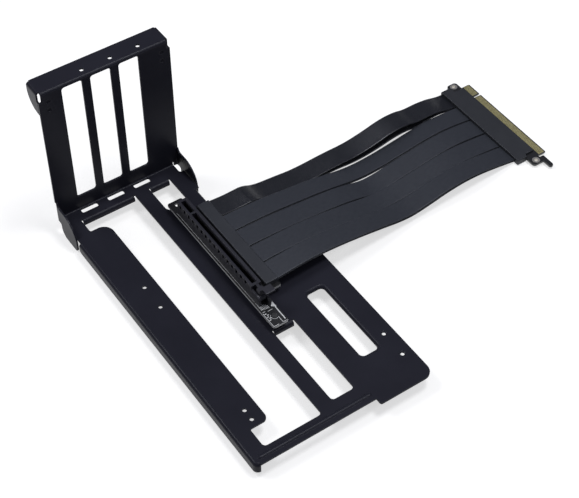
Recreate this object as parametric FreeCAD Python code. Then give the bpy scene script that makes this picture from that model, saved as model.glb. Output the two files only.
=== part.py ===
import FreeCAD, Part
import math
import os

V = FreeCAD.Vector
EAST = V(1, 0, 0)
WEST = V(-1, 0, 0)
BACK = V(0, 1, 0)
FORE = V(0, -1, 0)
UP = V(0, 0, 1)
DOWN = V(0, 0, -1)

# Lengths in mm. While the pieces are shaped, x is zero at the middle window of
# the panel, y is zero at the panel's front face and z is zero on the table.

# sheet
SHEET = 1.2
BEND_IN = 1.0
BEND_OUT = BEND_IN + SHEET
FREE_EDGE = 0.3          # gap between neighbouring sheet edges
BEND_RELIEF = 1.0        # width of the slit that ends a bend
TRAY_TOP = 11.1
TRAY_UNDER = TRAY_TOP - SHEET
FLANGE_ROOT = TRAY_TOP - BEND_OUT

# panel
SLOT_PITCH = 20.32
WINDOW_COLUMNS = (-SLOT_PITCH, 0.0, SLOT_PITCH)
PANEL_LEFT = -44.0
PANEL_RIGHT = 50.7
PANEL_RISE = 110.0
PANEL_TOP = TRAY_TOP + PANEL_RISE
WINDOW_WIDTH = 14.47
WINDOW_SILL = 11.1
WINDOW_HEAD = 2.4
WINDOW_BOTTOM = TRAY_TOP + WINDOW_SILL
WINDOW_TOP = PANEL_TOP - WINDOW_HEAD
WINDOW_ROUND = 2.0
DIMPLE_INSET = 6.4
DIMPLE_DROPS = (8.0, 14.8)
DIMPLE_RADIUS = 1.5
DIMPLE_DEPTH = 0.6

# top flange and ears
CROWN_DEPTH = 16.0
CROWN_HOLE_SHIFT = 10.61
CROWN_HOLE_SETBACK = 6.13
CROWN_HOLE_RADIUS = 1.45
EAR_BACK = 15.3
EAR_DROP = 17.3
EAR_ROUND = 12.0
EAR_SLIT_DROP = 7.0
EAR_SLIT_BACK = 2.8

# wings beside the panel
WING_REACH = 25.0
WING_RISE = 11.6
WING_STEP = 1.5
WING_TOP = TRAY_TOP + WING_RISE
WING_FOOT = TRAY_TOP - WING_STEP
WING_ROUND = 15.5
WING_BLEND = 3.0
WING_TOE_ROUND = 3.0
WING_HEEL = 4.6
WING_HEEL_ROUND = 6.5
CORNER_NOTCH_WIDTH = 4.7
CORNER_NOTCH_DEPTH = 9.0
CORNER_NOTCH_ROUND = 1.7

# tray
TRAY_FRONT = -239.4
SIDE_FLANGE_BACK = -28.5
SIDE_FLANGE_DROP = 7.5
SIDE_FLANGE_LOW = TRAY_TOP - SIDE_FLANGE_DROP
SIDE_FLANGE_ROUND = 2.5
FRONT_CORNER = 3.6       # plan radius where the left flange wraps the front corner
RIGHT_FLANGE_FACE = 47.2
RIGHT_FLANGE_FRONT = -112.0
PLATE_RIGHT = 83.7
PLATE_LEFT = 43.0
PLATE_FRONT = -244.2
PLATE_BACK = -113.0
PLATE_ROUND = 7.0
CUT_ROUND = 1.5
LIP_DROP = 4.0
LIP_BACK_FACE = -12.3

# slits at the panel's foot
FOOT_SLIT_SHIFT = -1.24
FOOT_SLIT_WIDTH = 12.42
FOOT_SLIT_NEAR = -5.1
FOOT_SLIT_FAR = -1.2
FOOT_SLIT_ROUND = 1.2

# large opening and the rail inside it
BAY_LEFT = -32.1
BAY_RIGHT = 9.4
BAY_NEAR = -230.0
BAY_ROUND = 2.5
RAIL_EDGE = -18.7
RAIL_FAR = -22.8
RAIL_NEAR = -215.0
RAIL_ROUND = 8.0
RAIL_NEAR_ROUND = 4.0
RAIL_HOLE_COLUMN = -27.2
RAIL_HOLE_ROWS = (-84.8, -104.5, -201.7, -209.5)
RAIL_HOLE_RADIUS = 1.35

# openings in the board's column
COLUMN_LEFT = 20.2
COLUMN_RIGHT = 36.8
COLUMN_FAR_END = -36.5
COLUMN_FAR_ROUND = 4.5
COLUMN_LIP_FACE = -162.6
COLUMN_NEAR = -225.4

# opening with a drawn rim in the right plate
OVAL_LEFT = 55.0
OVAL_RIGHT = 68.0
OVAL_NEAR = -208.5
OVAL_FAR = -147.8
OVAL_ROUND = 3.0
OVAL_RIM_DROP = 2.6
OVAL_RIM_ROUND = 2.2
PLATE_HOLE_COLUMN = 76.8
PLATE_HOLE_ROWS = (-201.8, -221.0)
PLATE_HOLE_RADIUS = 1.3
PLATE_SINK_RADIUS = 2.4
PLATE_SINK_DEPTH = 0.5

# bead pressed into the front rail
BEAD_LEFT = -38.0
BEAD_RIGHT = 41.2
BEAD_ROW = -234.6
BEAD_RADIUS = 2.0
BEAD_RISE = 0.8

# riser board on its standoffs
STANDOFF_RISE = 4.5
STANDOFF_RADIUS = 2.8
STANDOFF_SPOTS = ((25.8, -155.5), (39.5, -62.0), (39.5, -122.0))
SPIGOT_RADIUS = 2.0
SPIGOT_GAP = 0.05
SCREW_RADIUS = 1.45
SCREW_BORE_GAP = 0.05
SCREW_HOLE_RADIUS = 1.7
SCREW_HEAD_RADIUS = 2.75
SCREW_HEAD_RISE = 1.8
SCREW_SOCKET_RADIUS = 1.4
SCREW_SOCKET_DEPTH = 1.0
SCREW_END_GAP = 0.5
BOARD_THICK = 1.6
BOARD_FLOOR = TRAY_TOP + STANDOFF_RISE
BOARD_TOP = BOARD_FLOOR + BOARD_THICK
BOARD_LEFT = 20.0
BOARD_RIGHT = 44.0
BOARD_FAR = -35.5
BOARD_NEAR = -163.3
TONGUE_RIGHT = 31.4
TONGUE_FAR = -48.5
TONGUE_NEAR = -136.5
BOARD_ROUND = 1.5
BOARD_HOLE_SPOT = (25.7, -39.6)
BOARD_HOLE_RADIUS = 1.7

# card edge standard
EDGE_SHORT = 11.65
EDGE_KEY = 1.9
EDGE_LONG = 71.65
EDGE_BOARD = 1.57
CONTACT_PITCH = 1.0

# card slot
SLOT_COLUMN = 25.5
SLOT_FAR = -46.5
SLOT_WIDTH = 7.5
SLOT_RISE = 11.25
SLOT_END_WALL = 1.9
SLOT_CAVITY = 3.0
SLOT_CAVITY_FLOOR = 2.25
SLOT_LEAD_IN = 0.6
SLOT_CORNER = 0.4
KEY_WALL_GAP = 0.1
CONTACT_THICK = 0.3
CONTACT_WIDTH = 0.7
CONTACT_LOW = 0.5
CONTACT_RISE = 6.5
POCKET_COUNT = 16
POCKET_PITCH = 5.2
POCKET_WIDTH = 2.2
POCKET_RISE = 3.4
POCKET_DEPTH = 1.3
POCKET_DROP = 0.5
POCKET_FIRST = 4.35

# latch at the slot's near end
CHEEK_THICK = 1.3
CHEEK_REACH = 9.0
CHEEK_RISE = 8.0
CHEEK_ROUND = 3.5
PIVOT_REACH = 5.1
PIVOT_RISE = 4.6
PIVOT_RADIUS = 1.25
PIVOT_GAP = 0.05
LATCH_SIDE_GAP = 0.3
LATCH_ARM_HALF = 1.6
LATCH_KNUCKLE = 3.0
LATCH_TOP = 7.4
LATCH_BAR = 1.8
LATCH_NOSE = 4.6
LATCH_NOSE_HALF = 0.9
LATCH_THUMB = 6.2
LATCH_THUMB_LEFT = 25.7
LATCH_THUMB_RIGHT = 32.6
LATCH_ROUND = 0.7

# cable head
HEAD_LEFT = 34.0
HEAD_RIGHT = 43.5
HEAD_RISE = 4.0
HEAD_OVERHANG = 0.3
HEAD_ROUND = 0.8

# five flat cables
RIBBON_PITCH = 16.6
RIBBON_WIDTH = 16.2
RIBBON_THICK = 2.0
RIBBON_FAR = -50.8
RIBBON_TUCK = 2.0        # trimmed off both ends to sit flush
RIBBON_BEND_SHARE = 0.45

# plug
PLUG_LEFT = 249.9
PLUG_LENGTH = 16.4
PLUG_SHIFT = 8.9         # sideways shift of the plug against the head
PLUG_THICK = 4.6
PLUG_FLOOR = 0.4
PLUG_SHOULDER_LENGTH = 8.5
PLUG_OVERLAP = 1.0       # board held inside the cover halves
PLUG_FAR_MARGIN = 0.4    # cover beyond the outer cables
PLUG_NEAR_MARGIN = 3.7
PLUG_FAR_STEP = 5.5      # from the ends of the cover in to its waist
PLUG_NEAR_STEP = 2.6
PLUG_CORNER = 1.2
PLUG_EDGE_ROUND = 0.6
PLUG_BOARD_INSET = 2.0
FINGER_REACH = 7.0
FINGER_TUCK = 0.3
FINGER_FAR_INSET = 3.8   # from the far end of the cover to the edge connector
FINGER_CORNER = 0.6
FINGER_BEVEL_RUN = 1.2
FINGER_BEVEL_DROP = 0.4
KEY_ROUND = 0.9
PAD_LENGTH = 4.8
PAD_WIDTH = 0.7
PAD_THICK = 0.1
LUG_LENGTH = 8.6
LUG_FAR_REACH = 7.4      # beyond the ends of the edge connector
LUG_NEAR_REACH = 6.3
LUG_ROUND = 2.5
EYELET_HOLE = 1.4
EYELET_WALL = 0.35
EYELET_FLANGE = 2.75
EYELET_FLANGE_THICK = 0.3
EYELET_RIM = 0.55        # board left between flange and lug edge
EYELET_INSET = 4.5
HOOK_GAP = 2.0
HOOK_WIDTH = 3.4
HOOK_LENGTH = 11.4
HOOK_ROUND = 1.6
NOTCH_ROUND = 0.8

# mid-plane of each cable as (x, z), far cable first
RIBBON_ROUTES = (
    ((41.5, 19.5), (61.0, 19.0), (79.0, 14.4), (115.0, 10.8), (153.5, 5.6),
     (181.5, 7.9), (202.0, 10.6), (223.0, 8.8), (238.0, 4.6), (251.9, 2.7)),
    ((41.5, 19.5), (64.5, 17.9), (94.5, 13.9), (119.0, 10.2), (149.0, 1.4),
     (183.5, 2.1), (208.0, 5.3), (228.0, 5.9), (251.9, 2.4)),
    ((41.5, 19.5), (64.5, 18.1), (92.5, 14.5), (119.0, 10.2), (149.0, 2.0),
     (185.5, 3.9), (214.0, 6.9), (232.0, 4.9), (251.9, 2.4)),
    ((41.5, 19.5), (64.5, 19.7), (92.5, 16.3), (119.0, 10.6), (149.0, 2.8),
     (181.5, 5.1), (208.0, 8.1), (232.0, 5.1), (251.9, 2.4)),
    ((41.5, 19.5), (66.5, 21.4), (92.5, 18.1), (123.0, 10.5), (153.5, 3.9),
     (183.5, 7.9), (208.0, 10.1), (232.0, 5.5), (251.9, 2.4)),
)

PANEL_FOOT = TRAY_TOP + BEND_IN
FOOT_LEFT = PANEL_LEFT + CORNER_NOTCH_WIDTH
FOOT_RIGHT = PANEL_RIGHT - CORNER_NOTCH_WIDTH
ORIGIN = V((PANEL_LEFT + PLATE_RIGHT) / 2, (PLATE_FRONT + CROWN_DEPTH) / 2, 0)


def level(z):
    return lambda u, v: V(u, v, z)


def upright(y):
    return lambda u, v: V(u, y, v)


def sideways(x):
    return lambda u, v: V(x, u, v)


def rectangle(left, right, low, high, radius=0.0):
    return [(left, low, radius), (right, low, radius), (right, high, radius), (left, high, radius)]


def slab(corners, place, push):
    """Plate of an outline of (u, v, corner radius), pushed out of its plane."""
    turns = []
    for index, (u, v, radius) in enumerate(corners):
        here = V(u, v, 0)
        ahead = V(*corners[(index + 1) % len(corners)][:2], 0) - here
        behind = V(*corners[index - 1][:2], 0) - here
        ahead.normalize()
        behind.normalize()
        half = ahead.getAngle(behind) / 2
        reach = radius / math.tan(half)
        inward = ahead + behind
        inward.normalize()
        peak = here + inward * (radius / math.sin(half) - radius)
        turns.append([place(p.x, p.y) for p in (here + behind * reach, peak, here + ahead * reach)])
    edges = []
    for index, (enter, peak, leave) in enumerate(turns):
        if not enter.isEqual(leave, Part.Precision.confusion()):
            edges.append(Part.Arc(enter, peak, leave).toShape())
        following = turns[(index + 1) % len(turns)][0]
        if not leave.isEqual(following, Part.Precision.confusion()):
            edges.append(Part.makeLine(leave, following))
    return Part.Face(Part.Wire(edges)).extrude(push)


def block(low, high):
    return Part.makeBox(high.x - low.x, high.y - low.y, high.z - low.z, low)


def drill(x, y, radius, low, high):
    return Part.makeCylinder(radius, high - low, V(x, y, low))


def turned(outline, x, y):
    """Round piece of an outline of (radius, z), turned about an upright axis."""
    points = [V(x + r, y, z) for r, z in outline]
    points.append(points[0])
    return Part.Face(Part.makePolygon(points)).revolve(V(x, y, 0), UP, 360)


def bend(hub, first, second, run):
    """Quarter bend of the sheet about hub, from one direction to the next, along run."""
    middle = first + second
    middle.normalize()
    outside = Part.Arc(hub + first * BEND_OUT, hub + middle * BEND_OUT, hub + second * BEND_OUT)
    inside = Part.Arc(hub + second * BEND_IN, hub + middle * BEND_IN, hub + first * BEND_IN)
    leaving = Part.makeLine(hub + second * BEND_OUT, hub + second * BEND_IN)
    entering = Part.makeLine(hub + first * BEND_IN, hub + first * BEND_OUT)
    return Part.Face(Part.Wire([outside.toShape(), leaving, inside.toShape(), entering])).extrude(run)


def panel_sheet():
    wing_left = PANEL_LEFT + BEND_OUT
    wing_right = PANEL_RIGHT - BEND_OUT
    wing_root = WING_TOP + WING_BLEND
    relief = PANEL_FOOT + BEND_RELIEF
    shoulder = PANEL_TOP - EAR_SLIT_DROP
    crown = PANEL_TOP - BEND_OUT
    right_half = [(FOOT_RIGHT, PANEL_FOOT, 0), (FOOT_RIGHT, relief, 0), (FOOT_RIGHT + BEND_RELIEF, relief, 0),
                  (FOOT_RIGHT + BEND_RELIEF, WING_FOOT, 0), (wing_right, WING_FOOT, 0),
                  (wing_right, wing_root, 0), (PANEL_RIGHT, wing_root, 0), (PANEL_RIGHT, shoulder, 0),
                  (wing_right, shoulder, 0), (wing_right, crown, 0)]
    left_half = [(PANEL_LEFT + PANEL_RIGHT - x, z, r) for x, z, r in reversed(right_half)]
    sheet = slab(right_half + left_half, upright(0), BACK * SHEET)
    cuts = [slab(rectangle(x - WINDOW_WIDTH / 2, x + WINDOW_WIDTH / 2, WINDOW_BOTTOM, WINDOW_TOP,
                           WINDOW_ROUND), upright(0), BACK * SHEET) for x in WINDOW_COLUMNS]
    for x in (PANEL_LEFT + DIMPLE_INSET, PANEL_RIGHT - DIMPLE_INSET):
        cuts += [Part.makeCylinder(DIMPLE_RADIUS, DIMPLE_DEPTH, V(x, 0, PANEL_TOP - drop), BACK)
                 for drop in DIMPLE_DROPS]
    foot = bend(V(FOOT_LEFT, -BEND_IN, PANEL_FOOT), DOWN, BACK, EAST * (FOOT_RIGHT - FOOT_LEFT))
    top = bend(V(wing_left, BEND_OUT, crown), FORE, UP, EAST * (wing_right - wing_left))
    return [sheet.cut(cuts), foot, top]


def crown_sheets():
    inner_left = PANEL_LEFT + BEND_OUT
    inner_right = PANEL_RIGHT - BEND_OUT
    root = PANEL_TOP - BEND_OUT
    roof = slab(rectangle(inner_left, inner_right, BEND_OUT, CROWN_DEPTH),
                level(PANEL_TOP - SHEET), UP * SHEET)
    holes = [drill(x + CROWN_HOLE_SHIFT, CROWN_HOLE_SETBACK, CROWN_HOLE_RADIUS,
                   PANEL_TOP - SHEET, PANEL_TOP) for x in WINDOW_COLUMNS]
    front = SHEET + FREE_EDGE
    slit_foot = PANEL_TOP - EAR_SLIT_DROP
    low = PANEL_TOP - EAR_DROP
    ear = [(EAR_SLIT_BACK, root, 0), (EAR_BACK, root, 0), (EAR_BACK, low, EAR_ROUND),
           (front, low, 0), (front, slit_foot, 0), (EAR_SLIT_BACK, slit_foot, 0)]
    run = BACK * (EAR_BACK - EAR_SLIT_BACK)
    return [roof.cut(holes),
            bend(V(inner_left, EAR_SLIT_BACK, root), UP, WEST, run),
            bend(V(inner_right, EAR_SLIT_BACK, root), UP, EAST, run),
            slab(ear, sideways(PANEL_LEFT), EAST * SHEET),
            slab(ear, sideways(PANEL_RIGHT), WEST * SHEET)]


def wing_sheets():
    root = WING_TOP + WING_BLEND
    wing = [(-BEND_IN, root, 0), (-BEND_IN - WING_BLEND / 2, WING_TOP, WING_BLEND),
            (-WING_REACH, WING_TOP, WING_ROUND), (-WING_REACH, 0, WING_TOE_ROUND),
            (-WING_HEEL, 0, WING_HEEL_ROUND), (-WING_HEEL, WING_FOOT, CUT_ROUND), (-BEND_IN, WING_FOOT, 0)]
    run = UP * (root - WING_FOOT)
    return [bend(V(PANEL_LEFT + BEND_OUT, -BEND_IN, WING_FOOT), BACK, WEST, run),
            bend(V(PANEL_RIGHT - BEND_OUT, -BEND_IN, WING_FOOT), BACK, EAST, run),
            slab(wing, sideways(PANEL_LEFT), EAST * SHEET),
            slab(wing, sideways(PANEL_RIGHT), WEST * SHEET)]


def side_flange(face, inward, front, front_round):
    root = FLANGE_ROOT
    hub = V(face + inward.x * BEND_OUT, SIDE_FLANGE_BACK, root)
    skirt = [(SIDE_FLANGE_BACK, root, 0), (SIDE_FLANGE_BACK, SIDE_FLANGE_LOW, SIDE_FLANGE_ROUND),
             (front, SIDE_FLANGE_LOW, front_round), (front, root, 0)]
    return [bend(hub, UP, inward * -1, FORE * (SIDE_FLANGE_BACK - front)),
            slab(skirt, sideways(face), inward * SHEET)]


def front_corner():
    """Left flange and its bend carried round the tray's front corner."""
    axis = V(PANEL_LEFT + FRONT_CORNER, TRAY_FRONT + FRONT_CORNER, 0)
    hub = V(PANEL_LEFT + BEND_OUT, axis.y, FLANGE_ROOT)
    fold = WEST + UP
    fold.normalize()
    foot = V(PANEL_LEFT, axis.y, SIDE_FLANGE_LOW)
    outside = Part.Arc(hub + UP * BEND_OUT, hub + fold * BEND_OUT, hub + WEST * BEND_OUT).toShape()
    inside = Part.Arc(hub + WEST * BEND_IN, hub + fold * BEND_IN, hub + UP * BEND_IN).toShape()
    skirt = Part.makePolygon([hub + WEST * BEND_OUT, foot, foot + EAST * SHEET, hub + WEST * BEND_IN])
    closing = Part.makeLine(hub + UP * BEND_IN, hub + UP * BEND_OUT)
    section = Part.Face(Part.Wire([outside] + skirt.Edges + [inside, closing]))
    return section.revolve(axis, UP, 90)


def lip(left, right, face):
    """Lip turned down at the far edge of an opening."""
    start = left + BEND_RELIEF
    run = EAST * (right - left - 2 * BEND_RELIEF)
    skirt = block(V(start, face, TRAY_TOP - LIP_DROP), V(start + run.x, face + SHEET, FLANGE_ROOT))
    return [bend(V(start, face + BEND_OUT, FLANGE_ROOT), UP, FORE, run), skirt]


def tray_sheet():
    left_edge = PANEL_LEFT + SHEET + FREE_EDGE
    right_edge = PANEL_RIGHT - SHEET - FREE_EDGE
    left_bend = PANEL_LEFT + BEND_OUT
    right_bend = RIGHT_FLANGE_FACE - BEND_OUT
    notch = -CORNER_NOTCH_DEPTH
    sheet = slab(
        [(FOOT_LEFT, -BEND_IN, 0), (FOOT_LEFT, notch, CORNER_NOTCH_ROUND), (left_edge, notch, 0),
         (left_edge, SIDE_FLANGE_BACK, 0), (left_bend, SIDE_FLANGE_BACK, 0),
         (left_bend, TRAY_FRONT + BEND_OUT, FRONT_CORNER - BEND_OUT),
         (PANEL_LEFT + FRONT_CORNER, TRAY_FRONT + BEND_OUT, 0), (PANEL_LEFT + FRONT_CORNER, TRAY_FRONT, 0),
         (PLATE_LEFT, TRAY_FRONT, 0),
         (PLATE_LEFT, PLATE_FRONT, CUT_ROUND), (PLATE_RIGHT, PLATE_FRONT, PLATE_ROUND),
         (PLATE_RIGHT, PLATE_BACK, PLATE_ROUND), (right_bend, PLATE_BACK, 0),
         (right_bend, SIDE_FLANGE_BACK, 0), (right_edge, SIDE_FLANGE_BACK, 0),
         (right_edge, notch, 0), (FOOT_RIGHT, notch, CORNER_NOTCH_ROUND),
         (FOOT_RIGHT, -BEND_IN, 0)], level(TRAY_UNDER), UP * SHEET)
    bay_far = LIP_BACK_FACE + BEND_OUT
    outlines = [
        [(BAY_LEFT, bay_far, 0), (BAY_RIGHT, bay_far, 0), (BAY_RIGHT, BAY_NEAR, BAY_ROUND),
         (BAY_LEFT, BAY_NEAR, BAY_ROUND), (BAY_LEFT, RAIL_NEAR, CUT_ROUND),
         (RAIL_EDGE, RAIL_NEAR, RAIL_NEAR_ROUND), (RAIL_EDGE, RAIL_FAR, RAIL_ROUND),
         (BAY_LEFT, RAIL_FAR, CUT_ROUND)],
        [(COLUMN_LEFT, bay_far, 0), (COLUMN_RIGHT, bay_far, 0),
         (COLUMN_RIGHT, COLUMN_FAR_END, COLUMN_FAR_ROUND),
         (COLUMN_LEFT, COLUMN_FAR_END, COLUMN_FAR_ROUND)],
        [(COLUMN_LEFT, COLUMN_LIP_FACE + BEND_OUT, 0), (COLUMN_RIGHT, COLUMN_LIP_FACE + BEND_OUT, 0),
         (COLUMN_RIGHT, COLUMN_NEAR, BAY_ROUND), (COLUMN_LEFT, COLUMN_NEAR, BAY_ROUND)]]
    outlines += [rectangle(x + FOOT_SLIT_SHIFT - FOOT_SLIT_WIDTH / 2,
                           x + FOOT_SLIT_SHIFT + FOOT_SLIT_WIDTH / 2,
                           FOOT_SLIT_NEAR, FOOT_SLIT_FAR, FOOT_SLIT_ROUND) for x in WINDOW_COLUMNS]
    cuts = [slab(outline, level(TRAY_UNDER), UP * SHEET) for outline in outlines]
    cuts += [drill(RAIL_HOLE_COLUMN, y, RAIL_HOLE_RADIUS, TRAY_UNDER, TRAY_TOP) for y in RAIL_HOLE_ROWS]
    cuts += [drill(x, y, SCREW_HOLE_RADIUS, TRAY_UNDER, TRAY_TOP) for x, y in STANDOFF_SPOTS]
    sink_floor = TRAY_TOP - PLATE_SINK_DEPTH
    cuts += [turned([(0, TRAY_UNDER), (PLATE_HOLE_RADIUS, TRAY_UNDER), (PLATE_HOLE_RADIUS, sink_floor),
                     (PLATE_SINK_RADIUS, TRAY_TOP), (0, TRAY_TOP)], PLATE_HOLE_COLUMN, y)
             for y in PLATE_HOLE_ROWS]
    return sheet.cut(cuts)


def drawn_rim(sheet):
    """Rim drawn down all round the oval opening, its mouth rounded over."""
    low = TRAY_TOP - OVAL_RIM_DROP
    collar = slab(rectangle(OVAL_LEFT - SHEET, OVAL_RIGHT + SHEET, OVAL_NEAR - SHEET, OVAL_FAR + SHEET,
                            OVAL_ROUND + SHEET), level(low), UP * (TRAY_TOP - low))
    mouth = slab(rectangle(OVAL_LEFT, OVAL_RIGHT, OVAL_NEAR, OVAL_FAR, OVAL_ROUND),
                 level(low), UP * (TRAY_TOP - low))
    rimmed = sheet.fuse(collar).removeSplitter().cut(mouth)

    def around(height):
        reach = 2 * SHEET
        return [edge for edge in rimmed.Edges if abs(edge.BoundBox.ZMin - height) < FREE_EDGE
                and abs(edge.BoundBox.ZMax - height) < FREE_EDGE
                and edge.BoundBox.XMin > OVAL_LEFT - reach and edge.BoundBox.XMax < OVAL_RIGHT + reach
                and edge.BoundBox.YMin > OVAL_NEAR - reach and edge.BoundBox.YMax < OVAL_FAR + reach]

    rimmed = rimmed.makeFillet(OVAL_RIM_ROUND - SHEET, around(TRAY_UNDER))
    return rimmed.makeFillet(OVAL_RIM_ROUND, around(TRAY_TOP))


def pressed_bead(sheet):
    axis = TRAY_TOP + BEAD_RISE - BEAD_RADIUS
    ends = [V(x, BEAD_ROW, axis) for x in (BEAD_LEFT, BEAD_RIGHT)]

    def bar(radius):
        core = Part.makeCylinder(radius, BEAD_RIGHT - BEAD_LEFT, ends[0], EAST)
        return core.fuse([Part.makeSphere(radius, end) for end in ends])

    above = block(V(PANEL_LEFT, BEAD_ROW - BEAD_RADIUS, TRAY_UNDER),
                  V(PLATE_RIGHT, BEAD_ROW + BEAD_RADIUS, PANEL_TOP))
    return sheet.fuse(bar(BEAD_RADIUS).common(above)).cut(bar(BEAD_RADIUS - SHEET))


def bracket():
    sheets = panel_sheet() + crown_sheets() + wing_sheets()
    sheets += side_flange(PANEL_LEFT, EAST, TRAY_FRONT + FRONT_CORNER, 0)
    sheets += side_flange(RIGHT_FLANGE_FACE, WEST, RIGHT_FLANGE_FRONT, SIDE_FLANGE_ROUND)
    sheets.append(front_corner())
    sheets += lip(BAY_LEFT, BAY_RIGHT, LIP_BACK_FACE)
    sheets += lip(COLUMN_LEFT, COLUMN_RIGHT, LIP_BACK_FACE)
    sheets += lip(COLUMN_LEFT, COLUMN_RIGHT, COLUMN_LIP_FACE)
    tray = pressed_bead(drawn_rim(tray_sheet()))
    return tray.fuse(sheets).removeSplitter()


def board_standoffs():
    bore = SCREW_RADIUS + SCREW_BORE_GAP
    roof = BOARD_FLOOR - SCREW_END_GAP / 2
    outline = [(bore, TRAY_TOP), (STANDOFF_RADIUS, TRAY_TOP), (STANDOFF_RADIUS, BOARD_FLOOR),
               (SPIGOT_RADIUS, BOARD_FLOOR), (SPIGOT_RADIUS, BOARD_TOP), (0, BOARD_TOP),
               (0, roof), (bore, roof)]
    return Part.makeCompound([turned(outline, x, y) for x, y in STANDOFF_SPOTS])


def board_screws():
    head = TRAY_UNDER - SCREW_HEAD_RISE
    outline = [(0, head), (SCREW_HEAD_RADIUS, head), (SCREW_HEAD_RADIUS, TRAY_UNDER),
               (SCREW_RADIUS, TRAY_UNDER), (SCREW_RADIUS, BOARD_FLOOR - SCREW_END_GAP),
               (0, BOARD_FLOOR - SCREW_END_GAP)]
    screws = []
    for x, y in STANDOFF_SPOTS:
        corners = [V(x + SCREW_SOCKET_RADIUS * math.cos(math.radians(angle)),
                     y + SCREW_SOCKET_RADIUS * math.sin(math.radians(angle)), head)
                   for angle in range(0, 361, 60)]
        socket = Part.Face(Part.makePolygon(corners)).extrude(UP * SCREW_SOCKET_DEPTH)
        screws.append(turned(outline, x, y).cut(socket))
    return Part.makeCompound(screws)


def slot_board():
    board = slab(
        [(BOARD_LEFT, BOARD_FAR, BOARD_ROUND), (BOARD_LEFT, BOARD_NEAR, BOARD_ROUND),
         (TONGUE_RIGHT, BOARD_NEAR, BOARD_ROUND), (TONGUE_RIGHT, TONGUE_NEAR, BOARD_ROUND),
         (BOARD_RIGHT, TONGUE_NEAR, BOARD_ROUND), (BOARD_RIGHT, TONGUE_FAR, BOARD_ROUND),
         (TONGUE_RIGHT, TONGUE_FAR, BOARD_ROUND), (TONGUE_RIGHT, BOARD_FAR, BOARD_ROUND)],
        level(BOARD_FLOOR), UP * BOARD_THICK)
    holes = [drill(x, y, SPIGOT_RADIUS + SPIGOT_GAP, BOARD_FLOOR, BOARD_TOP) for x, y in STANDOFF_SPOTS]
    holes.append(drill(*BOARD_HOLE_SPOT, BOARD_HOLE_RADIUS, BOARD_FLOOR, BOARD_TOP))
    return board.cut(holes)


SLOT_TOP = BOARD_TOP + SLOT_RISE
CAVITY_FLOOR = BOARD_TOP + SLOT_CAVITY_FLOOR
SLOT_NEAR = SLOT_FAR - EDGE_SHORT - EDGE_KEY - EDGE_LONG - 2 * SLOT_END_WALL
SHORT_FAR = SLOT_FAR - SLOT_END_WALL
SHORT_NEAR = SHORT_FAR - EDGE_SHORT - KEY_WALL_GAP
LONG_FAR = SHORT_NEAR - EDGE_KEY + 2 * KEY_WALL_GAP
LONG_NEAR = SLOT_NEAR + SLOT_END_WALL
PIVOT = V(SLOT_COLUMN, SLOT_NEAR - PIVOT_REACH, BOARD_TOP + PIVOT_RISE)


def slot_housing():
    half = SLOT_WIDTH / 2
    left = SLOT_COLUMN - half
    right = SLOT_COLUMN + half
    body = slab(rectangle(left, right, SLOT_NEAR, SLOT_FAR, SLOT_CORNER), level(BOARD_TOP), UP * SLOT_RISE)
    cheek = [(SLOT_NEAR + SLOT_CORNER, BOARD_TOP, 0), (SLOT_NEAR - CHEEK_REACH, BOARD_TOP, 0),
             (SLOT_NEAR - CHEEK_REACH, BOARD_TOP + CHEEK_RISE, CHEEK_ROUND),
             (SLOT_NEAR + SLOT_CORNER, BOARD_TOP + CHEEK_RISE, 0)]
    cheeks = [slab(cheek, sideways(left), EAST * CHEEK_THICK),
              slab(cheek, sideways(right), WEST * CHEEK_THICK)]
    cuts = [Part.makeCylinder(PIVOT_RADIUS + PIVOT_GAP, SLOT_WIDTH, V(left, PIVOT.y, PIVOT.z), EAST)]
    mouth = SLOT_CAVITY / 2
    lead = mouth + SLOT_LEAD_IN
    funnel = [(SLOT_COLUMN - mouth, CAVITY_FLOOR, 0), (SLOT_COLUMN + mouth, CAVITY_FLOOR, 0),
              (SLOT_COLUMN + mouth, SLOT_TOP - SLOT_LEAD_IN, 0), (SLOT_COLUMN + lead, SLOT_TOP, 0),
              (SLOT_COLUMN - lead, SLOT_TOP, 0), (SLOT_COLUMN - mouth, SLOT_TOP - SLOT_LEAD_IN, 0)]
    for far, near in ((SHORT_FAR, SHORT_NEAR), (LONG_FAR, LONG_NEAR)):
        cuts.append(slab(funnel, upright(near), BACK * (far - near)))
    top = SLOT_TOP - POCKET_DROP
    for index in range(POCKET_COUNT):
        y = SLOT_FAR - POCKET_FIRST - index * POCKET_PITCH
        for x in (left, right - POCKET_DEPTH):
            cuts.append(block(V(x, y - POCKET_WIDTH / 2, top - POCKET_RISE),
                              V(x + POCKET_DEPTH, y + POCKET_WIDTH / 2, top)))
    return body.fuse(cheeks).cut(cuts).removeSplitter()


def contact_rows(far):
    """Positions along a card edge whose far end is given."""
    rows = []
    for start, length in ((far, EDGE_SHORT), (far - EDGE_SHORT - EDGE_KEY, EDGE_LONG)):
        count = int(length / CONTACT_PITCH)
        margin = (length - (count - 1) * CONTACT_PITCH) / 2
        rows += [start - margin - index * CONTACT_PITCH for index in range(count)]
    return rows


def slot_contacts(wall, inward):
    low = CAVITY_FLOOR + CONTACT_LOW
    left = min(wall, wall + inward.x * CONTACT_THICK)
    return Part.makeCompound(
        [block(V(left, y - CONTACT_WIDTH / 2, low),
               V(left + CONTACT_THICK, y + CONTACT_WIDTH / 2, low + CONTACT_RISE))
         for y in contact_rows(SHORT_FAR)])


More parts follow.
